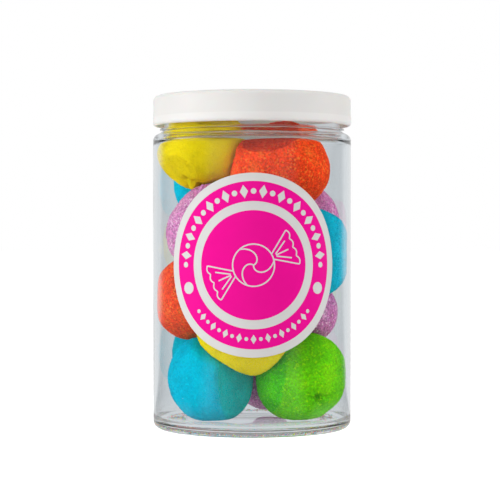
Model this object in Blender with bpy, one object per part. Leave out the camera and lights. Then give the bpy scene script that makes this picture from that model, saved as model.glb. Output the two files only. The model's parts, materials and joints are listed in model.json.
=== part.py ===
"""A clear screw-lid jar of large sugar-coated marshmallows with a round sticker on its wall.

Metres, +Z up. The jar stands on z = 0 about the Z axis, and its sticker faces -Y.
"""

import math

import bmesh
import bpy
import numpy as np

MM = 0.001

# Jar: a straight clear wall, a thick floor with a shallow recess under it, a shoulder and a neck.
JAR_RADIUS = 42.5 * MM
WALL = 1.3 * MM
FLOOR_TOP = 3.6 * MM
HEEL_RADIUS = 3.5 * MM
INNER_HEEL_RADIUS = 3.0 * MM
RECESS_RADIUS = 31.0 * MM
RECESS_DEPTH = 0.8 * MM
SHOULDER_START = 124.0 * MM
SHOULDER_ROUNDING = 2.6 * MM
SHOULDER_ANGLE = 62
INNER_SHOULDER_DROP = 0.5 * MM
INNER_NECK_RISE = 2.6 * MM
BEAD_RADIUS = 39.6 * MM
BEAD_TOP = 128.2 * MM
BEAD_HEIGHT = 0.6 * MM
BEAD_SLOPE = 0.5 * MM
NECK_RADIUS = 38.5 * MM
RIM_TOP = 140.3 * MM
RIM_ROUNDING = 0.4 * MM
TURN_STEPS = 48

# Lid: a plain white cap with a low step round its skirt.
LID_RADIUS = 42.6 * MM
LID_BOTTOM = 129.5 * MM
LID_TOP = 142.4 * MM
LID_TOP_WALL = 1.7 * MM
LID_SKIRT_WALL = 1.6 * MM
LID_EDGE_ROUNDING = 2.2 * MM
LID_LIP_ROUNDING = 0.6 * MM
LID_STEP_HEIGHT = 3.6 * MM
LID_STEP_DEPTH = 0.15 * MM

# Sticker: a paper disc bent round the wall.
LABEL_RADIUS = 37.7 * MM
LABEL_HEIGHT = 71.0 * MM
LABEL_TURN = math.radians(0.8)
LABEL_THICKNESS = 0.2 * MM
LABEL_COLUMNS = 28

# Clearances between pieces that touch.
TOUCH_GAP = 0.3 * MM
PIECE_MARGIN = 0.2 * MM
WALL_MARGIN = 0.38 * MM
NECK_MARGIN = 1.2 * MM

# How softly a marshmallow rounds into the flats that its neighbours press into it.
FLAT_ROUNDING = 0.9 * MM
LUMP_HEIGHT = 0.030
LUMP_WAVES = 7
LUMP_FREQUENCIES = (1.6, 3.6)

# A plane that a direction meets at less than this slope is left out of its reach.
LEAST_SLOPE = 0.05

# Steps along a direction on its way to the jar, each this share of the clear distance.
REACH_STEPS = 60
REACH_SHARE = 0.7

CLEAR_PLASTIC = (0.93, 0.96, 0.97)
WHITE_PLASTIC = (0.80, 0.79, 0.77)
STICKER_MAGENTA = (0.81, 0.005, 0.28)
SUGARS = {
    "yellow": (0.74, 0.58, 0.005),
    "red": (0.76, 0.075, 0.018),
    "purple": (0.50, 0.17, 0.39),
    "blue": (0.002, 0.45, 0.65),
    "green": (0.15, 0.51, 0.002),
}

# Each marshmallow: place, colour, centre and half sizes in millimetres.
MARSHMALLOWS = (
    ("front_low_left", "blue", (-17.2, -12.6, 22.0), (19.3, 18.6, 19.6)),
    ("front_low_right", "green", (20.6, -9.2, 22.4), (20.0, 18.8, 19.6)),
    ("back_low_right", "purple", (8.5, 20.5, 25.0), (18.4, 18.2, 19.6)),
    ("back_low_left", "blue", (-17.2, 16.0, 30.0), (19.0, 18.2, 18.8)),
    ("front_centre", "yellow", (-3.4, -22.2, 43.0), (20.2, 17.6, 19.4)),
    ("left_middle", "red", (-23.6, -4.5, 56.2), (19.2, 18.0, 18.6)),
    ("right_middle", "purple", (19.6, 5.0, 49.6), (17.9, 17.5, 16.0)),
    ("back_middle", "green", (3.0, 20.5, 56.0), (18.0, 18.0, 18.2)),
    ("right_upper", "blue", (22.6, -8.6, 75.4), (20.6, 17.2, 19.8)),
    ("left_upper", "purple", (-16.2, -13.5, 85.6), (19.6, 18.0, 20.6)),
    ("back_left_upper", "yellow", (-11.5, 19.5, 78.5), (17.2, 17.4, 17.4)),
    ("back_right_upper", "purple", (20.2, 12.0, 86.4), (19.2, 17.6, 19.0)),
    ("back_left_top", "blue", (-16.4, 16.5, 104.5), (18.3, 18.2, 18.0)),
    ("front_top_right", "red", (10.6, -16.0, 110.6), (21.8, 18.2, 20.6)),
    ("front_top_left", "yellow", (-20.8, -8.0, 119.0), (20.6, 18.4, 17.4)),
)

# Flats that a marshmallow keeps from how it was pressed, where nothing touches it now:
# place, outward direction and share of the half size that is left.
DENTS = (
    ("front_low_left", (0.75, -0.66, 0.04), 0.77),
    ("front_low_right", (0.62, -0.42, -0.66), 0.93),
    ("front_top_left", (-0.62, -0.35, -0.70), 0.86),
    ("front_top_right", (0.66, -0.30, -0.69), 0.94),
    ("front_top_right", (-0.42, -0.10, 0.90), 0.90),
    ("front_centre", (-0.50, -0.15, -0.85), 0.88),
    ("left_upper", (-0.72, -0.20, 0.66), 0.90),
    ("left_middle", (-0.30, -0.55, -0.78), 0.94),
)


def clear_scene():
    for obj in list(bpy.data.objects):
        bpy.data.objects.remove(obj, do_unlink=True)


def material(name, colour, roughness, transmission=0.0):
    made = bpy.data.materials.new(name)
    made.use_nodes = True
    shader = made.node_tree.nodes["Principled BSDF"]
    shader.inputs["Base Color"].default_value = (*colour, 1.0)
    shader.inputs["Roughness"].default_value = roughness
    shader.inputs["Metallic"].default_value = 0.0
    shader.inputs["Transmission Weight"].default_value = transmission
    return made


def new_object(name, bm, surface, sharp_over=math.radians(35)):
    mesh = bpy.data.meshes.new(name)
    bm.to_mesh(mesh)
    bm.free()
    mesh.materials.append(surface)
    mesh.shade_smooth()
    mesh.set_sharp_from_angle(angle=sharp_over)
    obj = bpy.data.objects.new(name, mesh)
    bpy.context.scene.collection.objects.link(obj)
    return obj


def arc(centre_r, centre_z, radius, start, end, steps):
    """Points on an arc in the r-z plane, from one angle to the other, in degrees."""
    angles = np.radians(np.linspace(start, end, steps + 1))
    return [(centre_r + radius * math.cos(a), centre_z + radius * math.sin(a)) for a in angles]


def turned(name, profile, surface):
    """A solid turned about Z from a profile that runs down its outer side."""
    bm = bmesh.new()
    points = [bm.verts.new((r, 0.0, z)) for r, z in profile]
    for first, second in zip(points, points[1:]):
        bm.edges.new((first, second))
    obj = new_object(name, bm, surface)
    screw = obj.modifiers.new("turn", "SCREW")
    screw.axis = "Z"
    screw.steps = TURN_STEPS
    screw.render_steps = TURN_STEPS
    screw.use_merge_vertices = True
    screw.merge_threshold = 1e-6
    screw.use_smooth_shade = True
    return obj


def jar_profile():
    """From the middle of the floor up the inside, over the rim and down the outside to the base."""
    inner = JAR_RADIUS - WALL
    neck_inner = NECK_RADIUS - WALL
    inner_shoulder = SHOULDER_START - INNER_SHOULDER_DROP
    heel_height = FLOOR_TOP + INNER_HEEL_RADIUS
    inside = [(0.0, FLOOR_TOP)]
    inside += arc(inner - INNER_HEEL_RADIUS, heel_height, INNER_HEEL_RADIUS, -90, 0, 4)
    inside += arc(inner - SHOULDER_ROUNDING, inner_shoulder, SHOULDER_ROUNDING, 0, SHOULDER_ANGLE, 3)
    inside += [(neck_inner, SHOULDER_START + INNER_NECK_RISE)]
    rim = arc(neck_inner + RIM_ROUNDING, RIM_TOP - RIM_ROUNDING, RIM_ROUNDING, 180, 90, 2)
    rim += arc(NECK_RADIUS - RIM_ROUNDING, RIM_TOP - RIM_ROUNDING, RIM_ROUNDING, 90, 0, 2)
    bead = [(NECK_RADIUS, BEAD_TOP + BEAD_SLOPE), (BEAD_RADIUS, BEAD_TOP)]
    bead += [(BEAD_RADIUS, BEAD_TOP - BEAD_HEIGHT)]
    shoulder_centre = JAR_RADIUS - SHOULDER_ROUNDING
    shoulder = arc(shoulder_centre, SHOULDER_START, SHOULDER_ROUNDING, SHOULDER_ANGLE, 0, 4)
    heel = arc(JAR_RADIUS - HEEL_RADIUS, HEEL_RADIUS, HEEL_RADIUS, 0, -90, 5)
    base = [(RECESS_RADIUS, 0.0), (RECESS_RADIUS - 2 * RECESS_DEPTH, RECESS_DEPTH)]
    base += [(0.0, RECESS_DEPTH)]
    return inside + rim + bead + shoulder + heel + base


def lid_profile():
    """From the middle of the top over the edge, down the skirt and back up inside it."""
    skirt = LID_RADIUS - LID_STEP_DEPTH
    step = LID_BOTTOM + LID_STEP_HEIGHT
    inner = LID_RADIUS - LID_SKIRT_WALL
    ceiling = LID_TOP - LID_TOP_WALL
    outside = [(0.0, LID_TOP)]
    edge_radius, edge_height = skirt - LID_EDGE_ROUNDING, LID_TOP - LID_EDGE_ROUNDING
    outside += arc(edge_radius, edge_height, LID_EDGE_ROUNDING, 90, 0, 5)
    outside += [(skirt, step + LID_STEP_DEPTH), (LID_RADIUS, step)]
    lip_radius, lip_height = LID_RADIUS - LID_LIP_ROUNDING, LID_BOTTOM + LID_LIP_ROUNDING
    outside += arc(lip_radius, lip_height, LID_LIP_ROUNDING, 0, -90, 3)
    inside = [(inner, LID_BOTTOM), (inner, ceiling), (0.0, ceiling)]
    return outside + inside


def label_object(surface):
    """The sticker: columns of the disc laid round the wall, closed front to back."""
    bm = bmesh.new()
    near = JAR_RADIUS + TOUCH_GAP
    sides = []
    for radius in (near + LABEL_THICKNESS, near):
        top, bottom = [], []
        for column in range(LABEL_COLUMNS + 1):
            around = math.pi * column / LABEL_COLUMNS
            turn = LABEL_TURN - LABEL_RADIUS * math.cos(around) / near
            half = LABEL_RADIUS * math.sin(around)
            x, y = radius * math.sin(turn), -radius * math.cos(turn)
            top.append(bm.verts.new((x, y, LABEL_HEIGHT + half)))
            ends = column in (0, LABEL_COLUMNS)
            bottom.append(top[-1] if ends else bm.verts.new((x, y, LABEL_HEIGHT - half)))
        sides.append((top, bottom))
    (front_top, front_bottom), (back_top, back_bottom) = sides
    for i in range(LABEL_COLUMNS):
        face(bm, front_bottom[i], front_bottom[i + 1], front_top[i + 1], front_top[i])
        face(bm, back_top[i], back_top[i + 1], back_bottom[i + 1], back_bottom[i])
        face(bm, front_top[i], front_top[i + 1], back_top[i + 1], back_top[i])
        face(bm, back_bottom[i], back_bottom[i + 1], front_bottom[i + 1], front_bottom[i])
    return new_object("label", bm, surface)


def face(bm, *corners):
    """A face through these corners, with a corner that is named twice used once."""
    once = list(dict.fromkeys(corners))
    bm.faces.new(once)


def inside_radius(height):
    """How far from the axis the inside of the jar reaches at each height."""
    wide = JAR_RADIUS - WALL - WALL_MARGIN
    narrow = NECK_RADIUS - WALL - NECK_MARGIN
    low = SHOULDER_START - 2 * SHOULDER_ROUNDING
    narrowing = np.clip((height - low) / (BEAD_TOP - low), 0.0, 1.0)
    lowest = FLOOR_TOP + WALL_MARGIN + INNER_HEEL_RADIUS
    heel = np.clip((lowest - height) / INNER_HEEL_RADIUS, 0.0, 1.0)
    heel_inset = INNER_HEEL_RADIUS * (1.0 - np.sqrt(1.0 - heel**2))
    return wide + (narrow - wide) * narrowing - heel_inset


def distance_to_jar(centre, directions, furthest):
    """How far each direction runs from the centre before it meets the jar or the lid."""
    reach = np.zeros(len(directions))
    ceiling = LID_TOP - LID_TOP_WALL - WALL_MARGIN
    for _ in range(REACH_STEPS):
        at = centre + directions * reach[:, None]
        clear = inside_radius(at[:, 2]) - np.hypot(at[:, 0], at[:, 1])
        clear = np.minimum(clear, at[:, 2] - FLOOR_TOP - WALL_MARGIN)
        clear = np.minimum(clear, ceiling - at[:, 2])
        reach = np.minimum(reach + REACH_SHARE * np.maximum(clear, 0.0), furthest)
    return reach


def ellipsoid_reach(half_sizes, directions):
    return 1.0 / np.sqrt(((directions / half_sizes) ** 2).sum(axis=-1))


def lumps(seed, directions):
    """Broad low lumps over the surface, different on each marshmallow."""
    rng = np.random.default_rng(seed)
    total = np.zeros(len(directions))
    for _ in range(LUMP_WAVES):
        along = rng.normal(size=3)
        along *= rng.uniform(*LUMP_FREQUENCIES) / np.linalg.norm(along)
        total += np.sin(directions @ along + rng.uniform(0, 2 * math.pi))
    return 1.0 + LUMP_HEIGHT * total / math.sqrt(LUMP_WAVES)


def plane_reach(directions, normal, distance):
    """How far each direction runs before it meets a plane that faces it."""
    facing = directions @ normal
    return np.where(facing > LEAST_SLOPE, distance / np.maximum(facing, LEAST_SLOPE), np.inf)


def marshmallow_flats(index, centre, half_sizes):
    """The planes that this marshmallow shares with its neighbours, as (normal, distance)."""
    flats = []
    for other, (_, _, other_centre, other_halves) in enumerate(MARSHMALLOWS):
        if other == index:
            continue
        apart = np.array(other_centre) * MM - centre
        distance = np.linalg.norm(apart)
        normal = apart / distance
        mine = ellipsoid_reach(half_sizes, normal)
        theirs = ellipsoid_reach(np.array(other_halves) * MM, -normal)
        flats.append((normal, (distance + mine - theirs) / 2 - PIECE_MARGIN))
    place = MARSHMALLOWS[index][0]
    for dented, outward, share in DENTS:
        if dented == place:
            normal = np.array(outward) / np.linalg.norm(outward)
            flats.append((normal, share * ellipsoid_reach(half_sizes, normal)))
    return flats


def marshmallow_object(index, surface):
    """A soft ball that swells out to its neighbours and to the jar and lies flat on them."""
    place, _, centre_mm, halves_mm = MARSHMALLOWS[index]
    centre = np.array(centre_mm) * MM
    half_sizes = np.array(halves_mm) * MM
    bm = bmesh.new()
    bmesh.ops.create_icosphere(bm, subdivisions=3, radius=1.0)
    directions = np.array([vert.co for vert in bm.verts])
    directions /= np.linalg.norm(directions, axis=1)[:, None]
    free = ellipsoid_reach(half_sizes, directions) * lumps(index, directions)
    limits = [free, distance_to_jar(centre, directions, 2 * half_sizes.max())]
    flats = marshmallow_flats(index, centre, half_sizes)
    limits += [plane_reach(directions, normal, distance) for normal, distance in flats]
    weights = sum(np.exp(-limit / FLAT_ROUNDING) for limit in limits)
    reach = -FLAT_ROUNDING * np.log(weights)
    for vert, direction, length in zip(bm.verts, directions, reach):
        vert.co = centre + direction * length
    bmesh.ops.recalc_face_normals(bm, faces=bm.faces)
    return new_object(f"marshmallow_{place}", bm, surface, sharp_over=math.radians(180))


def main():
    clear_scene()
    turned("jar", jar_profile(), material("clear_plastic", CLEAR_PLASTIC, 0.03, transmission=1.0))
    turned("lid", lid_profile(), material("white_plastic", WHITE_PLASTIC, 0.35))
    label_object(material("sticker", STICKER_MAGENTA, 0.4))
    sugars = {name: material(f"{name}_sugar", colour, 0.7) for name, colour in SUGARS.items()}
    for index, (_, colour, _, _) in enumerate(MARSHMALLOWS):
        marshmallow_object(index, sugars[colour])


main()
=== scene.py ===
"""Clear screw-lid jar of sugar-coated marshmallows: the finish of every piece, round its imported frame."""

import json
import math

import bmesh
import bpy
import numpy as np
from bpy.props import FloatProperty, FloatVectorProperty, IntProperty, PointerProperty
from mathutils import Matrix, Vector, noise


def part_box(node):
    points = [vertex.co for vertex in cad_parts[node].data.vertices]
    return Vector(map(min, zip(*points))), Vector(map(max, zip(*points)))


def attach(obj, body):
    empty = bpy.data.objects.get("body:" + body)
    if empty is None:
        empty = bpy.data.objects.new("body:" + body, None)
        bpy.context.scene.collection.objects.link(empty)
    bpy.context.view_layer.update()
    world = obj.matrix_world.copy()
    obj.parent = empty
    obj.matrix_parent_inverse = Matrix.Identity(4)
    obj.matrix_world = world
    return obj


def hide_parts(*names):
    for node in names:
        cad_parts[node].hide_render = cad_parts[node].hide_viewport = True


bl_info = {
    "name": "Marshmallow Jar",
    "version": (1, 0, 0),
    "blender": (4, 5, 0),
    "location": "View3D > Sidebar > Marshmallow Jar",
    "description": "Builds a clear jar of sugar-coated marshmallows round its packed frame",
    "category": "Add Mesh",
}

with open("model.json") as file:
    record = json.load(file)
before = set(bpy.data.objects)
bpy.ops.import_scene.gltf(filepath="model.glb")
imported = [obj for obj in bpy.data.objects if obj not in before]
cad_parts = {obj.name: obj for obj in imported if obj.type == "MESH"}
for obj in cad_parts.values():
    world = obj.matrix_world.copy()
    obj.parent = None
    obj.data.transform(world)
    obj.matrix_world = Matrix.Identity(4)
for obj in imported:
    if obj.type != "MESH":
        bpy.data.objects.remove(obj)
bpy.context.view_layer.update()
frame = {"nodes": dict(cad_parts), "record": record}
JAR_LOW, JAR_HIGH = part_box("jar")
LID_LOW, LID_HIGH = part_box("lid")
LABEL_LOW, LABEL_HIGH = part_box("label")
SLOT_OF = {part["node"]: part["material_slot"] for part in frame["record"]["subparts"]}
MARSHMALLOW_NODES = sorted(name for name in frame["nodes"] if name.startswith("marshmallow_"))

MM = 0.001
BLACK = (0.0, 0.0, 0.0)
WHITE = (1.0, 1.0, 1.0)
BODY = "root"

# Where the end of the rope was pinched off: node, outward direction, nub height, width and
# depth of the folds round it, in millimetres.
PINCHES = (
    ("marshmallow_front_top_left", (-0.22, -0.36, -0.91), 3.4, 1.5, 0.55),
    ("marshmallow_front_low_right", (0.38, -0.82, -0.43), -2.8, 1.4, 0.7),
    ("marshmallow_front_top_right", (0.15, 0.75, 0.60), 2.0, 1.8, 0.4),
    ("marshmallow_left_upper", (-0.20, -0.45, 0.87), 1.8, 1.3, 0.35),
    ("marshmallow_back_middle", (0.10, 0.90, 0.30), -1.6, 1.8, 0.4),
    ("marshmallow_back_left_upper", (-0.35, 0.90, -0.10), 1.5, 1.7, 0.45),
    ("marshmallow_back_right_upper", (0.50, 0.80, 0.35), -1.5, 1.6, 0.4),
    ("marshmallow_back_low_left", (-0.75, 0.60, 0.10), 1.7, 1.6, 0.4),
)

# Flats pressed into the sweets that are still sharp at their edges: node, outward direction and
# how far out they lie, as a share of the sweet's reach that way.
PRESSED_FLATS = (
    ("marshmallow_front_low_left", (0.80, -0.60, 0.02), 0.78),
    ("marshmallow_front_top_right", (-0.26, -0.43, 0.86), 0.77),
    ("marshmallow_front_low_right", (-0.84, -0.52, 0.10), 0.94),
    ("marshmallow_front_top_left", (-0.52, -0.62, -0.58), 0.93),
    ("marshmallow_front_top_left", (0.30, -0.45, 0.84), 0.84),
)

# Painted shade, as a deeper colour of the sugar, on sides that neighbours and the lid shadow: node,
# outward direction, the share of it at which they start, and how much of each of red, green and blue they
# lose.
PAINTED_SHADE_SIDES = (
    ("marshmallow_front_low_left", (0.985, -0.17, 0.02), 0.36, (0.0, 0.01, 0.20)),
    ("marshmallow_front_top_right", (-0.26, -0.43, 0.86), 0.765, (0.36, 0.50, 0.20)),
    ("marshmallow_front_low_right", (0.38, -0.82, -0.43), 0.993, (0.35, 0.30, 0.20)),
    ("marshmallow_back_low_left", (-0.50, -0.85, 0.10), 0.05, (0.0, 0.15, 0.20)),
    ("marshmallow_front_low_right", (-0.97, -0.22, 0.10), 0.55, (0.55, 0.10, 0.20)),
    ("marshmallow_front_top_left", (-0.52, -0.62, -0.58), 0.90, (0.10, 0.10, 0.10)),
    ("marshmallow_front_top_left", (0.30, -0.45, 0.84), 0.83, (0.16, 0.20, 0.10)),
)


# Settings that a user would change


def length_setting(name, description, default):
    return FloatProperty(name=name, description=description, default=default, unit="LENGTH")


def angle_setting(name, description, degrees):
    return FloatProperty(
        name=name, description=description, default=math.radians(degrees), unit="ROTATION"
    )


def colour_setting(name, description, default):
    return FloatVectorProperty(name=name, description=description, default=default, subtype="COLOR")


class JarSizes(bpy.types.PropertyGroup):
    radius: length_setting("Radius", "Outside of the wall", JAR_HIGH.x)
    rim: length_setting("Rim height", "Top of the neck", JAR_HIGH.z)
    wall: length_setting("Wall", "Thickness of the wall", 1.3 * MM)
    floor: length_setting("Floor", "Height of the inside floor", 3.6 * MM)
    heel: length_setting("Heel rounding", "Radius of the outer heel", 3.5 * MM)
    inner_heel: length_setting("Inner heel", "Radius of the inner heel", 3.0 * MM)
    recess_radius: length_setting("Recess radius", "Recess under the floor", 31.0 * MM)
    recess_depth: length_setting("Recess depth", "Depth of that recess", 0.8 * MM)
    shoulder: length_setting("Shoulder", "Height where the wall turns in", 123.2 * MM)
    shoulder_rounding: length_setting("Shoulder rounding", "Radius of that turn", 3.2 * MM)
    neck: length_setting("Neck radius", "Outside of the neck", 37.9 * MM)
    bead: length_setting("Bead radius", "Ring under the lid", 39.7 * MM)
    bead_top: length_setting("Bead height", "Top of that ring", 128.2 * MM)
    segments: IntProperty(name="Segments", description="Faces round the jar", default=192, min=48)


class LidSizes(bpy.types.PropertyGroup):
    radius: length_setting("Radius", "Outside of the skirt", LID_HIGH.x)
    bottom: length_setting("Bottom", "Lower edge of the skirt", LID_LOW.z)
    top: length_setting("Top", "Top of the lid", LID_HIGH.z)
    top_wall: length_setting("Top wall", "Thickness of the top", 1.7 * MM)
    skirt_wall: length_setting("Skirt wall", "Thickness of the skirt", 1.6 * MM)
    edge: length_setting("Edge rounding", "Radius of the top edge", 2.2 * MM)
    lip: length_setting("Lip rounding", "Radius of the lower edge", 1.25 * MM)
    step_height: length_setting("Step height", "Height of the band's step", 3.6 * MM)
    step_depth: length_setting("Step depth", "How far the band stands out", 0.15 * MM)
    colour: colour_setting("Colour", "White plastic", (0.73, 0.72, 0.70))


class StickerSizes(bpy.types.PropertyGroup):
    radius: length_setting("Radius", "Outside of the disc", (LABEL_HIGH.z - LABEL_LOW.z) / 2 - 0.1 * MM)
    height: length_setting("Height", "Height of its middle", (LABEL_HIGH.z + LABEL_LOW.z) / 2 - 0.3 * MM)
    turn: angle_setting("Turn", "How far round the wall its middle is", 0.8)
    gap: length_setting("Gap", "Between wall and sticker", 0.06 * MM)
    thickness: length_setting("Thickness", "Paper thickness", 0.12 * MM)
    ink: length_setting("Ink", "How far the print stands out", 0.012 * MM)
    line: length_setting("Line width", "Width of the drawing's lines", 0.55 * MM)
    magenta: colour_setting("Magenta", "Printed fields", (0.84, 0.002, 0.29))
    white: colour_setting("White", "Unprinted rings", (0.66, 0.65, 0.64))


class SugarSizes(bpy.types.PropertyGroup):
    grain: length_setting("Grain", "Half the size of a sugar crystal", 0.24 * MM)
    per_area: FloatProperty(
        name="Grains per area", description="Crystals on each square metre", default=1.75e6
    )
    loose: IntProperty(name="Loose grains", description="Grains on the floor of the jar", default=1100)
    seed: IntProperty(name="Seed", description="Seed of every scatter", default=7)
    yellow: colour_setting("Yellow", "Yellow sugar", (0.90, 0.72, 0.003))
    red: colour_setting("Red", "Red sugar", (0.97, 0.066, 0.009))
    purple: colour_setting("Purple", "Purple sugar", (0.66, 0.22, 0.50))
    blue: colour_setting("Blue", "Blue sugar", (0.0, 0.52, 0.73))
    green: colour_setting("Green", "Green sugar", (0.14, 0.67, 0.0))


class StageSettings(bpy.types.PropertyGroup):
    camera_distance: length_setting("Camera distance", "From the jar's axis", 0.7395)
    camera_height: length_setting("Camera height", "Above the floor", 0.085)
    camera_side: length_setting("Camera side", "To the right of the axis", -0.00086)
    camera_tilt: angle_setting("Camera tilt", "Downwards", 0.668)
    lens: FloatProperty(name="Lens", description="Focal length in millimetres", default=123.55)
    lamp_power: FloatProperty(name="Lamp power", description="Watts of the left lamp", default=5.8)
    ambient: FloatProperty(
        name="Ambient", description="Strength of the even light all round", default=0.38
    )


class MarshmallowJarSettings(bpy.types.PropertyGroup):
    jar: PointerProperty(type=JarSizes)
    lid: PointerProperty(type=LidSizes)
    sticker: PointerProperty(type=StickerSizes)
    sugar: PointerProperty(type=SugarSizes)
    stage: PointerProperty(type=StageSettings)


# Helpers that every piece uses


def put(tree, kind, inputs=None, **settings):
    """Adds a node; a value that is a socket is linked, and any other is set."""
    made = tree.nodes.new(kind)
    for name, value in settings.items():
        setattr(made, name, value)
    for key, value in (inputs or {}).items():
        if isinstance(value, bpy.types.NodeSocket):
            tree.links.new(value, made.inputs[key])
        else:
            made.inputs[key].default_value = value
    return made


def new_material(name):
    made = bpy.data.materials.new(name)
    made.use_nodes = True
    made.node_tree.nodes.clear()
    return made, made.node_tree


def finish_material(tree, shader):
    put(tree, "ShaderNodeOutputMaterial", {"Surface": shader.outputs[0]})


def step_up(tree, value, low, high):
    """0 below low, 1 above high, even between them; turned round if low is the higher."""
    return put(tree, "ShaderNodeMapRange", {"Value": value, "From Min": low, "From Max": high}).outputs[0]


def spread_out(tree, value, low, high):
    """A value from 0 to 1 moved to lie from low to high."""
    return put(tree, "ShaderNodeMapRange", {"Value": value, "To Min": low, "To Max": high}).outputs[0]


def calc(tree, operation, *values):
    """The result of a Math node."""
    return put(tree, "ShaderNodeMath", dict(enumerate(values)), operation=operation).outputs[0]


def split(tree, vector):
    """A vector's X, Y and Z."""
    return put(tree, "ShaderNodeSeparateXYZ", {0: vector}).outputs


def principled(tree, look):
    return put(tree, "ShaderNodeBsdfPrincipled", look)


def object_coords(tree):
    return put(tree, "ShaderNodeTexCoord").outputs["Object"]


def noise_at(tree, coords, scale, detail, roughness=0.5):
    inputs = {"Vector": coords, "Scale": scale, "Detail": detail, "Roughness": roughness}
    return put(tree, "ShaderNodeTexNoise", inputs).outputs[0]


def stored(tree, name):
    """What a mesh attribute holds."""
    return put(tree, "ShaderNodeAttribute", attribute_name=name).outputs


def bumped(tree, height, strength, distance):
    inputs = {"Height": height, "Strength": strength, "Distance": distance}
    return put(tree, "ShaderNodeBump", inputs).outputs[0]


def colour_mix(tree, factor, first, second, blend="MIX"):
    inputs = {0: factor, 6: first, 7: second}
    return put(tree, "ShaderNodeMix", inputs, data_type="RGBA", blend_type=blend).outputs[2]


def by_ray(tree, shader, choices):
    """Shows each kind of ray its own shader, the last choice first; factors are linked directly."""
    path = put(tree, "ShaderNodeLightPath").outputs
    for ray, shown in choices:
        inputs = {0: path[ray], 1: shader.outputs[0], 2: shown.outputs[0]}
        shader = put(tree, "ShaderNodeMixShader", inputs)
    return shader


def ramp(tree, factor, stops, interpolation="LINEAR"):
    """A colour ramp from (place, colour) stops."""
    made = put(tree, "ShaderNodeValToRGB", {"Fac": factor})
    made.color_ramp.interpolation = interpolation
    elements = made.color_ramp.elements
    while len(elements) < len(stops):
        elements.new(0.5)
    for element, (place, colour) in zip(elements, stops):
        element.position = place
        element.color = (*colour, 1.0)
    return made.outputs["Color"]


def tinted(colour, share, towards=WHITE):
    """This colour moved a share of the way towards another."""
    return tuple(a + (b - a) * share for a, b in zip(colour, towards))


def geometry_tree(name, inputs):
    """A Geometry Nodes tree with a geometry input and output and these further (name, kind) inputs."""
    tree = bpy.data.node_groups.new(name, "GeometryNodeTree")
    geometry = ("Geometry", "Geometry")
    for side, sockets in (("INPUT", [geometry, *inputs]), ("OUTPUT", [geometry])):
        for socket, kind in sockets:
            tree.interface.new_socket(socket, in_out=side, socket_type=f"NodeSocket{kind}")
    return tree, put(tree, "NodeGroupInput").outputs


def realized(tree, geometry):
    return put(tree, "GeometryNodeRealizeInstances", {"Geometry": geometry}).outputs[0]


def end_tree(tree, geometry, material):
    """Ends a tree in Realize Instances and Set Material."""
    real = realized(tree, geometry)
    finished = put(tree, "GeometryNodeSetMaterial", {"Geometry": real, "Material": material})
    put(tree, "NodeGroupOutput", {"Geometry": finished.outputs[0]})


def evaluated_mesh(obj):
    """The mesh that an object's modifiers make, on its own."""
    evaluated = obj.evaluated_get(bpy.context.evaluated_depsgraph_get())
    return bpy.data.meshes.new_from_object(evaluated)


def through_nodes(base, tree, values, name):
    """The plain mesh that a Geometry Nodes tree makes from a mesh, as a new object."""
    holder = add_object("holder", base)
    modifier = holder.modifiers.new("nodes", "NODES")
    modifier.node_group = tree
    by_name = {
        item.name: item.identifier
        for item in tree.interface.items_tree
        if item.item_type == "SOCKET" and item.in_out == "INPUT"
    }
    for key, value in values.items():
        modifier[by_name[key]] = value
    holder.update_tag()
    mesh = evaluated_mesh(holder)
    bpy.data.objects.remove(holder)
    return new_piece(name, mesh)


def add_object(name, data):
    obj = bpy.data.objects.new(name, data)
    bpy.context.scene.collection.objects.link(obj)
    return obj


def new_piece(name, mesh):
    mesh.name = name
    return add_object(name, mesh)


def mesh_from(bm, name):
    """Turns a bmesh into a mesh and frees it."""
    mesh = bpy.data.meshes.new(name)
    bm.to_mesh(mesh)
    bm.free()
    return mesh


def turn_out(mesh, sharp_over):
    """Makes every face of a closed mesh point outwards and marks its sharp edges."""
    bm = bmesh.new()
    bm.from_mesh(mesh)
    bmesh.ops.remove_doubles(bm, verts=bm.verts, dist=1e-7)
    bmesh.ops.recalc_face_normals(bm, faces=bm.faces)
    bm.to_mesh(mesh)
    bm.free()
    mesh.shade_smooth()
    mesh.set_sharp_from_angle(angle=math.radians(sharp_over))


def polyline_mesh(name, lines):
    """A mesh of open or closed lines; each line is (points, closed)."""
    points, edges = [], []
    for line, closed in lines:
        first = len(points)
        points += [tuple(point) for point in line]
        edges += [(first + i, first + i + 1) for i in range(len(line) - 1)]
        if closed:
            edges.append((first + len(line) - 1, first))
    mesh = bpy.data.meshes.new(name)
    mesh.from_pydata(points, edges, [])
    return mesh


def arc(centre_r, centre_z, radius, start, end, steps):
    """Points on an arc in the r-z plane, from one angle to the other, in degrees."""
    angles = np.radians(np.linspace(start, end, steps + 1))
    return [(centre_r + radius * math.cos(a), centre_z + radius * math.sin(a)) for a in angles]


def keep_piece(piece, slot, *replaced):
    """Says which body carries a piece and which CAD nodes it stands for; slot is not used."""
    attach(piece, BODY)
    if replaced:
        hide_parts(*replaced)


# Turned pieces: the jar and its lid

AXIS_RING = 1.0 * MM


def turned_tree():
    """Sweeps a profile round the Z axis on a small ring."""
    tree, given = geometry_tree("Turned", [("Segments", "Int"), ("Material", "Material")])
    profile = put(tree, "GeometryNodeMeshToCurve", {"Mesh": given["Geometry"]}).outputs[0]
    circle = {"Resolution": given["Segments"], "Radius": AXIS_RING}
    ring = put(tree, "GeometryNodeCurvePrimitiveCircle", circle).outputs[0]
    level = put(tree, "GeometryNodeSetCurveNormal", {"Curve": ring}, mode="Z_UP").outputs[0]
    swept = put(tree, "GeometryNodeCurveToMesh", {"Curve": level, "Profile Curve": profile}).outputs[0]
    merged = put(tree, "GeometryNodeMergeByDistance", {"Geometry": swept, "Distance": 1e-7})
    end_tree(tree, merged.outputs[0], given["Material"])
    return tree


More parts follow.
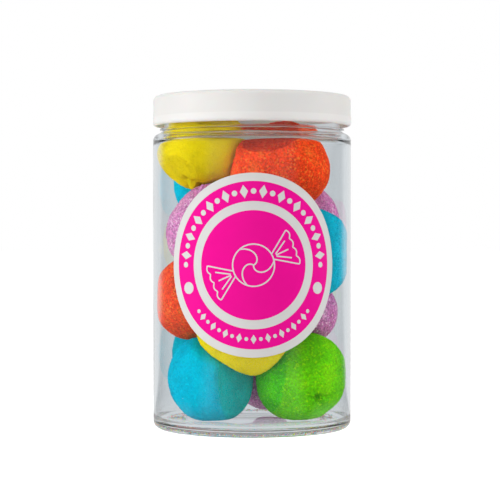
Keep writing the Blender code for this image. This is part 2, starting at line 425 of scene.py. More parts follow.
def turned_piece(name, profile, segments, material, sharp_over=40):
    """A closed turned piece from its (radius, height) profile."""
    base = polyline_mesh(name, [([(r - AXIS_RING, -z, 0.0) for r, z in profile], False)])
    values = {"Segments": segments, "Material": material}
    piece = through_nodes(base, turned_tree(), values, name)
    turn_out(piece.data, sharp_over)
    return piece


def jar_inside(sizes):
    """The inside of the jar, from the middle of its floor up to the neck."""
    inner = sizes.radius - sizes.wall
    neck_inner = sizes.neck - sizes.wall
    rounding, shoulder = 3.4 * MM, sizes.shoulder - 2.0 * MM
    neck_rounding, neck_foot = 1.0 * MM, shoulder + 6.2 * MM
    inside = [(0.0, sizes.floor)]
    inside += arc(inner - sizes.inner_heel, sizes.floor + sizes.inner_heel, sizes.inner_heel, -90, 0, 12)
    inside += arc(inner - rounding, shoulder, rounding, 0, 62, 14)
    inside += arc(neck_inner + neck_rounding, neck_foot, neck_rounding, 235, 180, 6)
    return inside


def jar_profile(sizes):
    """From the middle of the floor up the inside, over the rim and down the outside to the base."""
    neck_inner = sizes.neck - sizes.wall
    rounding, rim_rounding = sizes.shoulder_rounding, 0.4 * MM
    rim = arc(neck_inner + rim_rounding, sizes.rim - rim_rounding, rim_rounding, 180, 90, 5)
    rim += arc(sizes.neck - rim_rounding, sizes.rim - rim_rounding, rim_rounding, 90, 0, 5)
    edge = 0.25 * MM
    bead = arc(sizes.neck + edge, sizes.bead_top + edge, edge, 180, 270, 4)
    bead += arc(sizes.bead - edge, sizes.bead_top - edge, edge, 90, -90, 8)
    bead += arc(sizes.neck + 3 * edge, sizes.bead_top - 4 * edge, edge, 90, 250, 6)
    shoulder = arc(sizes.radius - rounding, sizes.shoulder, rounding, 56, 0, 14)
    heel = arc(sizes.radius - sizes.heel, sizes.heel, sizes.heel, 0, -90, 14)
    base = [
        (sizes.recess_radius, 0.0),
        (sizes.recess_radius - 0.8 * MM, 0.3 * sizes.recess_depth),
        (sizes.recess_radius - 1.6 * MM, sizes.recess_depth),
        (0.0, sizes.recess_depth),
    ]
    return jar_inside(sizes) + rim + bead + shoulder + heel + base


def clear_plastic_material():
    """Clear plastic that bends what is behind it, and lets lamps light what is inside."""
    made, tree = new_material("clear plastic")
    ripple = noise_at(tree, object_coords(tree), 28.0, 1.0)
    look = {
        "Base Color": (0.985, 0.99, 0.995, 1.0),
        "Roughness": 0.0,
        "IOR": 1.5,
        "Transmission Weight": 1.0,
        "Normal": bumped(tree, ripple, 0.05, 0.0006),
    }
    plastic = principled(tree, look)
    clear = put(tree, "ShaderNodeBsdfTransparent", {"Color": (0.985, 0.99, 0.99, 1.0)})
    choices = (("Is Diffuse Ray", clear), ("Is Shadow Ray", clear))
    finish_material(tree, by_ray(tree, plastic, choices))
    return made


def lid_profile(sizes):
    """From the middle of the top over the edge, down the skirt and back up inside it."""
    skirt = sizes.radius - sizes.step_depth
    step = sizes.bottom + sizes.step_height
    inner = sizes.radius - sizes.skirt_wall
    ceiling = sizes.top - sizes.top_wall
    outside = [(0.0, sizes.top), (0.6 * sizes.radius, sizes.top)]
    outside += arc(skirt - sizes.edge, sizes.top - sizes.edge, sizes.edge, 90, 0, 16)
    outside += [(skirt, step + 2 * sizes.step_depth), (sizes.radius, step)]
    outside += arc(sizes.radius - sizes.lip, sizes.bottom + sizes.lip, sizes.lip, 0, -90, 8)
    inside = [(inner + 0.3 * MM, sizes.bottom), (inner, sizes.bottom + 0.3 * MM)]
    inside += arc(inner - 0.8 * MM, ceiling - 0.8 * MM, 0.8 * MM, 0, 90, 6)
    return outside + inside + [(0.0, ceiling)]


def white_plastic_material(colour, step):
    """Moulded white plastic with a soft shine, a very faint grain and a painted lighter band below the
    skirt's step.
    """
    made, tree = new_material("white plastic")
    coords = object_coords(tree)
    broad = noise_at(tree, coords, 45.0, 2.0)
    fine = noise_at(tree, coords, 2600.0, 2.0)
    height = split(tree, coords)["Z"]
    # Painted light: the band below the step is made lighter, as the light it catches.
    band = step_up(tree, height, step + 0.3 * MM, step - 0.1 * MM)
    plain = ramp(tree, broad, [(0.3, tinted(colour, 0.03, BLACK)), (0.7, colour)])
    look = {
        "Base Color": colour_mix(tree, band, plain, (*tinted(colour, 0.12), 1.0)),
        "Roughness": spread_out(tree, broad, 0.30, 0.38),
        "Normal": bumped(tree, fine, 0.08, 0.00005),
        "Subsurface Weight": 0.15,
        "Subsurface Scale": 0.002,
        "Specular IOR Level": 0.4,
    }
    plastic = principled(tree, look)
    milky = put(tree, "ShaderNodeBsdfTransparent", {"Color": (0.55, 0.54, 0.50, 1.0)})
    finish_material(tree, by_ray(tree, plastic, (("Is Shadow Ray", milky),)))
    return made


# The sticker and its print

# Shares of the sticker's radius: the printed ring's two edges and the printed disc's edge.
MAGENTA_RING = (0.693, 0.911)
MAGENTA_DISC = 0.595
STICKER_STEPS = 144
RING_SPACING = 2.2 * MM

# A dot's radius next to a lozenge's reach, and a lozenge's width next to its length.
DOT_SHARE = 0.42
LOZENGE_SHARE = 0.62

# Rows of marks on the printed ring: name, count, kinds of shape in turn, first angle and step in
# degrees, and a lozenge's reach in millimetres.
MARKS = (
    ("upper_marks", 25, 2, 180, -180 / 24, 2.75),
    ("lower_marks", 19, 2, -141, 102 / 18, 1.9),
    ("side_dots", 2, 1, -161.5, 143, 2.45 / DOT_SHARE),
)


def sticker_mesh(sizes, around_wall):
    """The paper disc bent round the wall: printed in front in fields, plain behind."""
    bm = bmesh.new()
    limits = [0.0, MAGENTA_DISC, *MAGENTA_RING, 1.0]
    radii, printed = [], []
    for low, high, field in zip(limits, limits[1:], (1, 0, 1, 0)):
        steps = max(1, round((high - low) * sizes.radius / RING_SPACING))
        radii += [low + (high - low) * i / steps for i in range(steps)]
        printed += [field] * steps
    around = [2 * math.pi * step / STICKER_STEPS for step in range(STICKER_STEPS)]
    sides = []
    for lift in (sizes.thickness, 0.0):
        rings = [[bm.verts.new(around_wall(0.0, 0.0, lift))]]
        for share in radii[1:] + [1.0]:
            reach = share * sizes.radius
            flat = [(reach * math.cos(a), reach * math.sin(a)) for a in around]
            rings.append([bm.verts.new(around_wall(*point, lift)) for point in flat])
        sides.append(rings)
    front, back = sides
    for rings in sides:
        for level, (inner, outer) in enumerate(zip(rings, rings[1:])):
            for step in range(STICKER_STEPS):
                after = (step + 1) % STICKER_STEPS
                corners = [inner[0], outer[step], outer[after]]
                if len(inner) > 1:
                    corners = [inner[step], outer[step], outer[after], inner[after]]
                face = bm.faces.new(corners if rings is front else corners[::-1])
                face.material_index = printed[level] if rings is front else 0
    for step in range(STICKER_STEPS):
        after = (step + 1) % STICKER_STEPS
        bm.faces.new([back[-1][step], back[-1][after], front[-1][after], front[-1][step]])
    return mesh_from(bm, "label")


def bend_nodes(tree, geometry, radius, height, turn):
    """Lays flat geometry (right, up, out) round the wall at this radius."""
    place = put(tree, "GeometryNodeInputPosition").outputs[0]
    flat = split(tree, place)
    turned = calc(tree, "ADD", calc(tree, "DIVIDE", flat["X"], radius), turn)
    reach = calc(tree, "ADD", flat["Z"], radius)
    back = calc(tree, "MULTIPLY", reach, -1.0)
    round_wall = {
        "X": calc(tree, "MULTIPLY", calc(tree, "SINE", turned), reach),
        "Y": calc(tree, "MULTIPLY", calc(tree, "COSINE", turned), back),
        "Z": calc(tree, "ADD", flat["Y"], height),
    }
    bent = put(tree, "ShaderNodeCombineXYZ", round_wall).outputs[0]
    return put(tree, "GeometryNodeSetPosition", {"Geometry": geometry, "Position": bent}).outputs[0]


PRINT_INPUTS = [(name, "Float") for name in ("Radius", "Height", "Turn", "Ink")]
PRINT_INPUTS.append(("Material", "Material"))


def marks_tree():
    """Shapes in turn on an arc of the printed ring, bent round the wall."""
    own = [(name, "Int") for name in ("Count", "Shapes")]
    own += [(name, "Float") for name in ("Ring Radius", "Start", "Step", "Size")]
    tree, given = geometry_tree("Printed marks", own + PRINT_INPUTS)
    index = put(tree, "GeometryNodeInputIndex").outputs[0]
    swing = calc(tree, "MULTIPLY_ADD", index, given["Step"], given["Start"])
    x = calc(tree, "MULTIPLY", calc(tree, "COSINE", swing), given["Ring Radius"])
    y = calc(tree, "MULTIPLY", calc(tree, "SINE", swing), given["Ring Radius"])
    place = put(tree, "ShaderNodeCombineXYZ", {"X": x, "Y": y}).outputs[0]
    points = put(tree, "GeometryNodePoints", {"Count": given["Count"], "Position": place})
    dot_size = calc(tree, "MULTIPLY", given["Size"], DOT_SHARE)
    dot, square = [
        put(tree, "GeometryNodeMeshCylinder", {"Vertices": sides, "Radius": size, "Depth": given["Ink"]})
        for sides, size in ((28, dot_size), (4, given["Size"]))
    ]
    slim = {"Geometry": square.outputs["Mesh"], "Scale": (1.0, LOZENGE_SHARE, 1.0)}
    lozenge = put(tree, "GeometryNodeTransform", slim).outputs[0]
    shapes = put(tree, "GeometryNodeGeometryToInstance", {0: lozenge})
    tree.links.new(dot.outputs["Mesh"], shapes.inputs[0])
    placing = {
        "Points": points.outputs[0],
        "Instance": shapes.outputs[0],
        "Pick Instance": True,
        "Instance Index": calc(tree, "MODULO", index, given["Shapes"]),
        "Rotation": put(tree, "ShaderNodeCombineXYZ", {"Z": swing}).outputs[0],
    }
    marks = put(tree, "GeometryNodeInstanceOnPoints", placing).outputs[0]
    real = realized(tree, marks)
    cut = put(tree, "GeometryNodeSubdivideMesh", {"Mesh": real, "Level": 2}).outputs[0]
    bent = bend_nodes(tree, cut, given["Radius"], given["Height"], given["Turn"])
    end_tree(tree, bent, given["Material"])
    return tree


def drawing_tree():
    """Flat lines of an even width laid along a drawing's paths, bent round the wall."""
    tree, given = geometry_tree("Printed lines", [("Width", "Float")] + PRINT_INPUTS)
    path = put(tree, "GeometryNodeMeshToCurve", {"Mesh": given["Geometry"]}).outputs[0]
    spacing = {"Curve": path, "Length": given["Width"]}
    even = put(tree, "GeometryNodeResampleCurve", spacing, mode="LENGTH").outputs[0]
    level = put(tree, "GeometryNodeSetCurveNormal", {"Curve": even}, mode="Z_UP").outputs[0]
    sides = {"Width": given["Width"], "Height": given["Ink"]}
    section = put(tree, "GeometryNodeCurvePrimitiveQuadrilateral", sides).outputs[0]
    swept = {"Curve": level, "Profile Curve": section, "Fill Caps": True}
    line = put(tree, "GeometryNodeCurveToMesh", swept).outputs[0]
    bent = bend_nodes(tree, line, given["Radius"], given["Height"], given["Turn"])
    end_tree(tree, bent, given["Material"])
    return tree


def sweet_drawing():
    """A plain wrapped sweet in outline, drawn flat about its middle: lines of (points, closed)."""
    ball, tilt = 8.6 * MM, math.radians(24)
    around = np.linspace(0, 2 * math.pi, 72, endpoint=False)
    lines = [([(ball * math.cos(a), ball * math.sin(a)) for a in around], True)]
    for start in range(3):
        swirl = []
        for share in np.linspace(0.0, 1.0, 28):
            a = 2 * math.pi * start / 3 + 1.9 * share
            swirl.append((ball * share * math.cos(a), ball * share * math.sin(a)))
        lines.append((swirl, False))
    for side in (1, -1):
        knot, spread, far = 8.6 * MM, 7.6 * MM, 18.0 * MM
        fan = [(side * knot, 1.2 * MM)]
        for share in np.linspace(0.0, 1.0, 33):
            frill = 0.9 * MM * abs(math.sin(4 * math.pi * share))
            fan.append((side * (far + frill), spread * (1 - 2 * share)))
        fan.append((side * knot, -1.2 * MM))
        lines.append((fan, False))
        for end in (-0.5, 0.0, 0.5):
            pleat = [(side * (knot + 1.5 * MM), 0.12 * end * spread), (side * 0.88 * far, end * spread)]
            lines.append((pleat, False))
    cosine, sine = math.cos(tilt), math.sin(tilt)
    return [
        ([(x * cosine - y * sine, x * sine + y * cosine, 0.0) for x, y in points], closed)
        for points, closed in lines
    ]


def print_material(name, colour, gloss):
    """Smooth coated paper or ink: nearly even, with a faint mottle in tone and shine."""
    made, tree = new_material(name)
    mottle = noise_at(tree, object_coords(tree), 160.0, 3.0)
    look = {
        "Base Color": ramp(tree, mottle, [(0.3, tinted(colour, 0.03, BLACK)), (0.7, colour)]),
        "Roughness": spread_out(tree, mottle, gloss, gloss + 0.1),
        "Specular IOR Level": 0.1,
    }
    finish_material(tree, principled(tree, look))
    return made


# Sugar-coated marshmallows

# How each sugar sparkles: the colour of its bright crystals, which are partly paler crystals and partly
# painted glints, and how far they show.
SPARKLES = {
    "yellow": ((0.97, 0.82, 0.02), 0.35),
    "red": ((0.97, 0.24, 0.03), 0.85),
    "purple": ((0.86, 0.58, 0.76), 0.98),
    "blue": ((0.0, 0.75, 0.92), 0.45),
    "green": ((0.40, 0.85, 0.0), 0.75),
}

# Sweets whose sugar is paler than their kind's, and by how much.
FROSTED = {"marshmallow_left_upper": 0.05, "marshmallow_left_middle": 0.03}

# Grains whose value is above this have another sugar's colour.
STRAYS_FROM = 0.9975


def sugar_colours(sugar):
    return {name: tuple(getattr(sugar, name)) for name in SPARKLES}


def sugar_material(name, colour, sparkle, share, strays):
    """Coloured sugar: mottled tone, pale and deep crystals, with the pale ones partly painted glints, a few
    grains of other colours, and painted shade on some sides.
    """
    made, tree = new_material(name)
    coords = object_coords(tree)
    broad = noise_at(tree, coords, 110.0, 3.0)
    fine = noise_at(tree, coords, 1050.0, 3.0, 0.7)
    cells = put(tree, "ShaderNodeTexVoronoi", {"Vector": coords, "Scale": 1500.0}).outputs
    flecks = put(tree, "ShaderNodeSeparateColor", {0: cells["Color"]}).outputs
    deep = tinted(colour, 0.16, BLACK)
    pale = tinted(colour, 0.34 * share, sparkle)
    tone = ramp(tree, broad, [(0.36, deep), (0.52, colour), (0.66, pale)])
    low, high = 1 - 0.50 * share**2, 1 + 0.50 * share**2
    speckle = ramp(tree, fine, [(0.34, (low,) * 3), (0.50, WHITE), (0.66, (high,) * 3)])
    toned = colour_mix(tree, 1.0, tone, speckle, "MULTIPLY")
    # Bright flecks on random cells: partly paler crystals, partly painted glints.
    pale_and_glint_flecks = ramp(tree, flecks[1], [(0.90, BLACK), (0.96, (share,) * 3)])
    flecked = colour_mix(tree, pale_and_glint_flecks, toned, (*sparkle, 1.0))
    grain = stored(tree, "grain")["Fac"]
    # The grains with the highest values take the sparkle colour: partly paler crystals, partly painted
    # glints.
    crystal = ramp(tree, grain, [(0.72, BLACK), (0.88, (0.5 * share,) * 3), (1.0, (share,) * 3)])
    lit = colour_mix(tree, crystal, flecked, (*sparkle, 1.0))
    is_stray = ramp(tree, grain, [(0.0, BLACK), (STRAYS_FROM, WHITE)], "CONSTANT")
    others = [(i / len(strays), stray) for i, stray in enumerate(strays)]
    picked = ramp(tree, step_up(tree, grain, STRAYS_FROM, 1.0), others, "CONSTANT")
    mixed = colour_mix(tree, is_stray, lit, picked)
    frosted = colour_mix(tree, stored(tree, "frost")["Fac"], mixed, (0.92, 0.88, 0.90, 1.0))
    # Painted shade: the colour is darkened by the amount the mesh stores for each point.
    loss = {0: WHITE, 1: stored(tree, "squeezed")["Vector"]}
    left = put(tree, "ShaderNodeVectorMath", loss, operation="SUBTRACT").outputs[0]
    look = {
        "Base Color": colour_mix(tree, 1.0, frosted, left, "MULTIPLY"),
        "Roughness": spread_out(tree, flecks[2], 0.45, 0.8),
        "Specular IOR Level": 0.01,
        "Subsurface Weight": 0.12,
        "Subsurface Scale": 0.0015,
        "Normal": bumped(tree, cells["Distance"], 0.45, 0.00025),
    }
    finish_material(tree, principled(tree, look))
    return made


def random_value(tree, low, high, seed):
    inputs = {2: low, 3: high, "Seed": seed}
    return put(tree, "FunctionNodeRandomValue", inputs, data_type="FLOAT").outputs[1]


def keep_attribute(tree, geometry, name, value, domain):
    inputs = {"Geometry": geometry, "Name": name, "Value": value}
    kind = "GeometryNodeStoreNamedAttribute"
    return put(tree, kind, inputs, data_type="FLOAT", domain=domain).outputs[0]


def grains_nodes(tree, given):
    """Eight-sided crystals on the tree's geometry, each with its own value in the attribute grain."""
    scatter = {"Mesh": given["Geometry"], "Density": given["Density"], "Seed": given["Seed"]}
    points = put(tree, "GeometryNodeDistributePointsOnFaces", scatter).outputs[0]
    crystal = put(tree, "GeometryNodeMeshUVSphere", {"Segments": 4, "Rings": 2, "Radius": 1.0})
    any_way = {0: (0.0, 0.0, 0.0), 1: (6.28, 6.28, 6.28), "Seed": 1}
    turn = put(tree, "FunctionNodeRandomValue", any_way, data_type="FLOAT_VECTOR").outputs[0]
    placing = {
        "Points": points,
        "Instance": crystal.outputs[0],
        "Rotation": turn,
        "Scale": calc(tree, "MULTIPLY", random_value(tree, 0.55, 1.15, 2), given["Grain"]),
    }
    placed = put(tree, "GeometryNodeInstanceOnPoints", placing).outputs[0]
    return keep_attribute(tree, placed, "grain", random_value(tree, 0.02, 1.0, 3), "INSTANCE")


GRAIN_INPUTS = [("Density", "Float"), ("Grain", "Float"), ("Seed", "Int"), ("Material", "Material")]


def sugar_coat_tree():
    """The soft core with sugar crystals half sunk in it."""
    tree, given = geometry_tree("Sugar coat", [("Frost", "Float")] + GRAIN_INPUTS)
    grains = grains_nodes(tree, given)
    real = realized(tree, grains)
    whole = put(tree, "GeometryNodeJoinGeometry", {0: real})
    tree.links.new(given["Geometry"], whole.inputs[0])
    frosted = keep_attribute(tree, whole.outputs[0], "frost", given["Frost"], "POINT")
    end_tree(tree, frosted, given["Material"])
    return tree


# Between the core of a sweet and the wall, which leaves room for the crystals.
WALL_GAP = 0.33 * MM

# The lumps on every sweet, from broad to fine: size and height in millimetres.
LUMPS = ((7.0, 0.26), (2.6, 0.13), (1.1, 0.08))

# Over what share of a side its painted shade comes in.
PAINTED_SHADE_EDGE = 0.06


def flat_points(mesh):
    """The coordinates of a mesh's points, one after another."""
    points = np.zeros(len(mesh.vertices) * 3)
    mesh.vertices.foreach_get("co", points)
    return points


def smooth_core(node):
    """A fine smooth copy of a CAD marshmallow that still passes through its points."""
    bm = bmesh.new()
    bm.from_mesh(frame["nodes"][node].data)
    bmesh.ops.remove_doubles(bm, verts=bm.verts, dist=1e-6)
    mesh = mesh_from(bm, node)
    mesh.materials.clear()
    wanted = flat_points(mesh)
    control = wanted.copy()
    holder = add_object("holder", mesh)
    smooth = holder.modifiers.new("smooth", "SUBSURF")
    smooth.levels = smooth.render_levels = 3
    for _ in range(4):
        mesh.vertices.foreach_set("co", control)
        mesh.update()
        fine = evaluated_mesh(holder)
        control += wanted - flat_points(fine)[: len(wanted)]
    bpy.data.objects.remove(holder)
    return fine


def pinch_shape(directions, distance, outward, height, width, folds):
    """How far a pinched-off end lifts or sinks each point, with folds twisting into it."""
    axis = Vector(outward).normalized()
    side = axis.orthogonal().normalized()
    other = axis.cross(side)
    flat = np.stack([directions @ np.array(side), directions @ np.array(other)], axis=1)
    away = distance * np.arccos(np.clip(directions @ np.array(axis), -1, 1)) / MM
    around = np.arctan2(flat[:, 1], flat[:, 0])
    nub = height * np.exp(-((away / width) ** 2))
    twist = folds * np.cos(6 * around + 0.55 * away) * np.exp(-((away / (4.2 * width)) ** 2))
    moat = -0.55 * abs(height) ** 0.5 * np.exp(-(((away - 2.3 * width) / (1.1 * width)) ** 2))
    near = 1 - np.exp(-((away / width) ** 2))
    return (nub + twist * near + moat) * MM


def pointing(directions, outward):
    """How far each direction points this way, from -1 to 1."""
    return directions @ (np.array(outward) / np.linalg.norm(outward))


def painted_shade_loss(directions, node):
    """How much painted shade darkens the sugar at each point of a sweet."""
    loss = np.zeros((len(directions), 3))
    for squeezed, outward, start, lost in PAINTED_SHADE_SIDES:
        if squeezed == node:
            inward = (pointing(directions, outward) - start) / (PAINTED_SHADE_EDGE * (1 - start))
            loss += np.clip(inward, 0.0, 1.0)[:, None] * np.array(lost)
    return loss


def roughen(mesh, node, seed, inside):
    """Gives the core its lumps, flats and pinched ends, and keeps it clear of the wall."""
    points = flat_points(mesh).reshape(-1, 3)
    low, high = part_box(node)
    offsets = points - np.array((low + high) / 2)
    distance = np.linalg.norm(offsets, axis=1)
    directions = offsets / distance[:, None]
    lift = np.zeros(len(points))
    shift = Vector((seed * 3.7, seed * 1.3, seed * 2.1))
    for size, amount in LUMPS:
        wave = [noise.noise(Vector(point) / (size * MM) + shift) for point in points]
        lift += amount * MM * (np.array(wave) - 0.25)
    for pinched, outward, height, width, folds in PINCHES:
        if pinched == node:
            lift += pinch_shape(directions, distance, outward, height, width, folds)
    for pressed, outward, share in PRESSED_FLATS:
        if pressed == node:
            facing = pointing(directions, outward)
            limit = share * np.max(pointing(offsets, outward)) / np.maximum(facing, 0.05)
            over = np.where(facing > 0.05, np.maximum(distance + lift - limit, 0.0), 0.0)
            lift -= 0.95 * over
    points = points + directions * lift[:, None]
    radii, heights = zip(*inside[1:])
    limit = np.interp(points[:, 2], heights, radii) - WALL_GAP
    out = np.hypot(points[:, 0], points[:, 1])
    points[:, :2] *= np.minimum(1.0, limit / np.maximum(out, MM))[:, None]
    mesh.vertices.foreach_set("co", points.ravel())
    # Stores the painted shade that darkens the sugar at each point.
    kept = mesh.attributes.new("squeezed", "FLOAT_VECTOR", "POINT")
    kept.data.foreach_set("vector", painted_shade_loss(directions, node).ravel())
    mesh.update()
    mesh.shade_smooth()


# Loose sugar


def loose_sugar_tree():
    """Loose crystals lying on a surface, each with its own value in the attribute grain."""
    tree, given = geometry_tree("Loose sugar", GRAIN_INPUTS)
    end_tree(tree, grains_nodes(tree, given), given["Material"])
    return tree


def ring_mesh(name, inner, outer, inner_height, outer_height, steps=64):
    """A ring between two circles round the Z axis."""
    bm = bmesh.new()
    around = [2 * math.pi * step / steps for step in range(steps)]
    first, second = [
        [bm.verts.new((radius * math.cos(a), radius * math.sin(a), height)) for a in around]
        for radius, height in ((inner, inner_height), (outer, outer_height))
    ]
    for step in range(steps):
        after = (step + 1) % steps
        bm.faces.new([first[step], second[step], second[after], first[after]])
    return mesh_from(bm, name)


def loose_sugar_material(colours):
    """Grains of every colour, and some uncoloured."""
    made, tree = new_material("loose sugar")
    every = [*colours.values(), (0.8, 0.8, 0.8)]
    stops = [(i / len(every), colour) for i, colour in enumerate(every)]
    picked = ramp(tree, stored(tree, "grain")["Fac"], stops, "CONSTANT")
    look = {"Base Color": picked, "Roughness": 0.4, "Specular IOR Level": 0.4}
    finish_material(tree, principled(tree, look))
    return made


# Stage

# What clear plastic shows of its surroundings: behind and beside it, and mirrored behind or in front.
CLEAR_BACK = (0.655, 0.695, 0.72)
CLEAR_SIDES = (0.12, 0.13, 0.14)
BRIGHT_BACK = (0.85, 0.85, 0.85)
DARK_FRONT = (0.005, 0.005, 0.005)


def surroundings(tree, direction):
    """What clear plastic passes on and what it mirrors from each direction round the object."""
    parts = split(tree, direction)
    sideways = calc(tree, "ABSOLUTE", parts["X"])
    behind = calc(tree, "MAXIMUM", parts["Y"], calc(tree, "ABSOLUTE", parts["Z"]))
    sides = ramp(tree, sideways, [(0.72, CLEAR_BACK), (0.86, CLEAR_SIDES)])
    around = colour_mix(tree, step_up(tree, behind, -0.4, -0.1), (*DARK_FRONT, 1), sides)
    passed = colour_mix(tree, step_up(tree, parts["Z"], 0.35, 0.55), around, (*CLEAR_BACK, 1))
    mirrored = ramp(tree, behind, [(0.58, DARK_FRONT), (0.70, BRIGHT_BACK)])
    return passed, mirrored


def world_light(ambient):
    """White behind the object, pale grey through its plastic, dark in front of it, even light."""
    world = bpy.data.worlds.new("studio")
    bpy.context.scene.world = world
    world.use_nodes = True
    tree = world.node_tree
    tree.nodes.clear()
    passed, mirrored = surroundings(tree, put(tree, "ShaderNodeTexCoord").outputs["Generated"])
    plain = put(tree, "ShaderNodeBackground", {"Color": (*WHITE, 1), "Strength": ambient})
    rays = (("Is Glossy Ray", mirrored), ("Is Transmission Ray", passed), ("Is Camera Ray", (*WHITE, 1)))
    choices = [(ray, put(tree, "ShaderNodeBackground", {"Color": colour})) for ray, colour in rays]
    put(tree, "ShaderNodeOutputWorld", {"Surface": by_ray(tree, plain, choices).outputs[0]})


def floor_material():
    """A white floor that keeps the object's shadow and meets its surroundings evenly."""
    made, tree = new_material("floor")
    coords = object_coords(tree)
    direction = put(tree, "ShaderNodeVectorMath", {0: coords}, operation="NORMALIZE").outputs[0]
    away = put(tree, "ShaderNodeVectorMath", {0: coords}, operation="LENGTH").outputs["Value"]
    across = split(tree, coords)["Y"]
    close, not_in_front = step_up(tree, away, 0.14, 0.06), step_up(tree, across, -0.062, -0.046)
    near = calc(tree, "MULTIPLY", close, not_in_front)
    passed, mirrored = surroundings(tree, direction)
    passed = colour_mix(tree, near, passed, (*CLEAR_BACK, 1))
    mirrored = colour_mix(tree, near, mirrored, (*BRIGHT_BACK, 1))
    matt = put(tree, "ShaderNodeBsdfDiffuse", {"Color": (0.85, 0.85, 0.85, 1)})
    white = put(tree, "ShaderNodeEmission", {"Color": (*WHITE, 1), "Strength": 0.75})
    choices = (
        ("Is Glossy Ray", put(tree, "ShaderNodeEmission", {"Color": mirrored})),
        ("Is Transmission Ray", put(tree, "ShaderNodeEmission", {"Color": passed})),
        ("Is Camera Ray", put(tree, "ShaderNodeAddShader", {0: matt.outputs[0], 1: white.outputs[0]})),
    )
    finish_material(tree, by_ray(tree, matt, choices))
    return made


# Each lamp: name, place, share of the lamp power, width and height.
LAMPS = (
    ("left", (-1.0, -0.20, 0.30), 1.0, (0.6, 0.6)),
    ("right", (1.0, 0.10, 0.30), 0.88, (0.6, 0.6)),
    ("front", (-0.2, -1.05, 0.40), 0.70, (0.8, 0.6)),
    ("top", (0.0, -0.20, 1.0), 0.3, (0.6, 0.6)),
)
FLOOR_SIZE = 6.0
FLOOR_DROP = 0.02 * MM


def area_lamp(name, place, power, size):
    lamp = bpy.data.lights.new(name, "AREA")
    lamp.shape = "RECTANGLE"
    lamp.size, lamp.size_y = size
    lamp.energy = power
    obj = add_object(name, lamp)
    obj.location = place
    middle = Vector((0, 0, JAR_HIGH.z / 2))
    obj.rotation_euler = (middle - Vector(place)).to_track_quat("-Z", "Y").to_euler()
    obj.visible_glossy = obj.visible_transmission = False


class MakeJar(bpy.types.Operator):
    """Turn the clear jar"""

    bl_idname = "marshmallow_jar.make_jar"
    bl_label = "Jar"

    def execute(self, context):
        sizes = context.scene.marshmallow_jar.jar
        piece = turned_piece("clear_jar", jar_profile(sizes), sizes.segments, clear_plastic_material())
        keep_piece(piece, SLOT_OF["jar"], "jar")
        return {"FINISHED"}


class MakeLid(bpy.types.Operator):
    """Turn the white lid"""

    bl_idname = "marshmallow_jar.make_lid"
    bl_label = "Lid"

    def execute(self, context):
        settings = context.scene.marshmallow_jar
        lid = settings.lid
        material = white_plastic_material(lid.colour, lid.bottom + lid.step_height)
        piece = turned_piece("white_lid", lid_profile(lid), settings.jar.segments, material)
        keep_piece(piece, SLOT_OF["lid"], "lid")
        return {"FINISHED"}


class MakeSticker(bpy.types.Operator):
    """Lay the sticker and its print round the wall"""

    bl_idname = "marshmallow_jar.make_sticker"
    bl_label = "Sticker"

    def execute(self, context):
        settings = context.scene.marshmallow_jar
        sizes = settings.sticker
        wall = settings.jar.radius + sizes.gap
        face = wall + sizes.thickness

        def around_wall(right, up, out):
            turn = sizes.turn + right / face
            reach = wall + out
            return (reach * math.sin(turn), -reach * math.cos(turn), sizes.height + up)

        white = print_material("sticker white", tuple(sizes.white), 0.42)
        magenta = print_material("sticker magenta", tuple(sizes.magenta), 0.38)
        piece = new_piece("sticker", sticker_mesh(sizes, around_wall))
        piece.data.materials.append(white)
        piece.data.materials.append(magenta)
        piece.data.shade_smooth()
        piece.data.set_sharp_from_angle(angle=math.radians(40))
        keep_piece(piece, SLOT_OF["label"], "label")
        common = {"Radius": face, "Height": sizes.height, "Turn": sizes.turn}
        common |= {"Ink": 2 * sizes.ink, "Material": white}
        tree = marks_tree()
        ring = sizes.radius * sum(MAGENTA_RING) / 2
        for name, count, shapes, start, step, size in MARKS:
            values = {"Count": count, "Shapes": shapes, "Ring Radius": ring, "Size": size * MM}
            values |= {"Start": math.radians(start), "Step": math.radians(step)}
            marks = through_nodes(bpy.data.meshes.new(name), tree, values | common, name)
            turn_out(marks.data, 30)
            keep_piece(marks, SLOT_OF["label"])
        base = polyline_mesh("drawing", sweet_drawing())
        values = {"Width": sizes.line} | common
        drawing = through_nodes(base, drawing_tree(), values, "sweet_drawing")
        turn_out(drawing.data, 30)
        keep_piece(drawing, SLOT_OF["label"])
        return {"FINISHED"}


class MakeMarshmallows(bpy.types.Operator):
    """Coat every marshmallow in coloured sugar"""

    bl_idname = "marshmallow_jar.make_marshmallows"
    bl_label = "Marshmallows"

    def execute(self, context):
        sugar = context.scene.marshmallow_jar.sugar
        colours = sugar_colours(sugar)
        materials = {}
        for name, colour in colours.items():
            strays = [tinted(other, 0.1) for key, other in colours.items() if key != name]
            look = (f"{name} sugar", colour, *SPARKLES[name], strays)
            materials[f"{name}_sugar"] = sugar_material(*look)
        tree = sugar_coat_tree()
        inside = jar_inside(context.scene.marshmallow_jar.jar)
        for index, node in enumerate(MARSHMALLOW_NODES):
            core = smooth_core(node)
            roughen(core, node, index, inside)
            values = {
                "Density": sugar.per_area,
                "Grain": sugar.grain,
                "Seed": sugar.seed + index,
                "Frost": FROSTED.get(node, 0.0),
                "Material": materials[SLOT_OF[node]],
            }
            piece = through_nodes(core, tree, values, node.replace("marshmallow", "sweet"))
            keep_piece(piece, SLOT_OF[node], node)
        return {"FINISHED"}


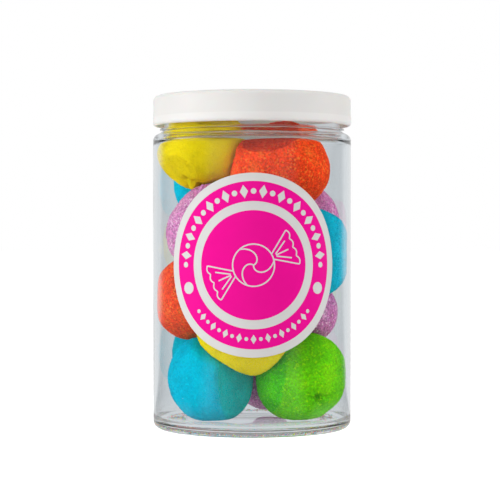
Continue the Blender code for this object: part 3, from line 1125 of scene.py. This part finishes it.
class MakeLooseSugar(bpy.types.Operator):
    """Scatter loose sugar on the floor of the jar"""

    bl_idname = "marshmallow_jar.make_loose_sugar"
    bl_label = "Loose sugar"

    def execute(self, context):
        settings = context.scene.marshmallow_jar
        jar, sugar = settings.jar, settings.sugar
        inside = jar.radius - jar.wall
        on_floor = ring_mesh("floor", 0.7 * inside, inside - 0.9 * jar.inner_heel, jar.floor, jar.floor)
        near_wall = inside - 0.12 * MM
        on_wall = ring_mesh("wall", near_wall, near_wall, 75 * MM, jar.floor + jar.inner_heel)
        material = loose_sugar_material(sugar_colours(sugar))
        spread = (
            ("loose_sugar", on_floor, sugar.loose, 1.2),
            ("wall_sugar", on_wall, 0.12 * sugar.loose, 0.4),
        )
        for name, base, count, size in spread:
            area = sum(polygon.area for polygon in base.polygons)
            values = {"Density": count / area, "Grain": size * sugar.grain}
            values |= {"Seed": sugar.seed, "Material": material}
            piece = through_nodes(base, loose_sugar_tree(), values, name)
            keep_piece(piece, "purple_sugar")
        return {"FINISHED"}


class MakeStage(bpy.types.Operator):
    """Set up the floor, the light and the camera"""

    bl_idname = "marshmallow_jar.make_stage"
    bl_label = "Stage"

    def execute(self, context):
        scene = context.scene
        stage = scene.marshmallow_jar.stage
        world_light(stage.ambient)
        bm = bmesh.new()
        bmesh.ops.create_grid(bm, x_segments=1, y_segments=1, size=FLOOR_SIZE)
        bmesh.ops.translate(bm, verts=bm.verts, vec=(0, 0, -FLOOR_DROP))
        mesh = mesh_from(bm, "floor")
        mesh.materials.append(floor_material())
        new_piece("floor", mesh)
        for name, place, share, size in LAMPS:
            area_lamp(name, place, share * stage.lamp_power, size)
        lens = bpy.data.cameras.new("camera")
        lens.sensor_width = 36.0
        lens.lens = stage.lens
        lens.clip_start = 0.01
        camera = add_object("camera", lens)
        camera.location = (stage.camera_side, -stage.camera_distance, stage.camera_height)
        camera.rotation_euler = (math.pi / 2 - stage.camera_tilt, 0.0, 0.0)
        scene.camera = camera
        scene.view_settings.view_transform = "Standard"
        scene.cycles.max_bounces = 24
        scene.cycles.glossy_bounces = 16
        scene.cycles.transmission_bounces = 20
        return {"FINISHED"}


class MarshmallowJarPanel(bpy.types.Panel):
    """Lists the steps that build the jar"""

    bl_idname = "VIEW3D_PT_marshmallow_jar"
    bl_label = "Marshmallow Jar"
    bl_space_type = "VIEW_3D"
    bl_region_type = "UI"
    bl_category = "Marshmallow Jar"

    def draw(self, context):
        settings = context.scene.marshmallow_jar
        for operator, name in STEPS:
            box = self.layout.box()
            box.operator(operator.bl_idname)
            if name:
                group = getattr(settings, name)
                for key in type(group).__annotations__:
                    box.prop(group, key)


# Every operator, with the settings that the panel shows under it; loose sugar shares the sugar's.
STEPS = (
    (MakeStage, "stage"),
    (MakeJar, "jar"),
    (MakeLid, "lid"),
    (MakeSticker, "sticker"),
    (MakeMarshmallows, "sugar"),
    (MakeLooseSugar, None),
)
SETTINGS = (JarSizes, LidSizes, StickerSizes, SugarSizes, StageSettings, MarshmallowJarSettings)
CLASSES = (*SETTINGS, *(operator for operator, name in STEPS), MarshmallowJarPanel)


def register():
    for cls in CLASSES:
        bpy.utils.register_class(cls)
    bpy.types.Scene.marshmallow_jar = PointerProperty(type=MarshmallowJarSettings)


def unregister():
    del bpy.types.Scene.marshmallow_jar
    for cls in reversed(CLASSES):
        bpy.utils.unregister_class(cls)


def main():
    register()
    bpy.ops.marshmallow_jar.make_stage()
    bpy.ops.marshmallow_jar.make_jar()
    bpy.ops.marshmallow_jar.make_lid()
    bpy.ops.marshmallow_jar.make_sticker()
    bpy.ops.marshmallow_jar.make_marshmallows()
    bpy.ops.marshmallow_jar.make_loose_sugar()


if __name__ == "__main__":
    main()
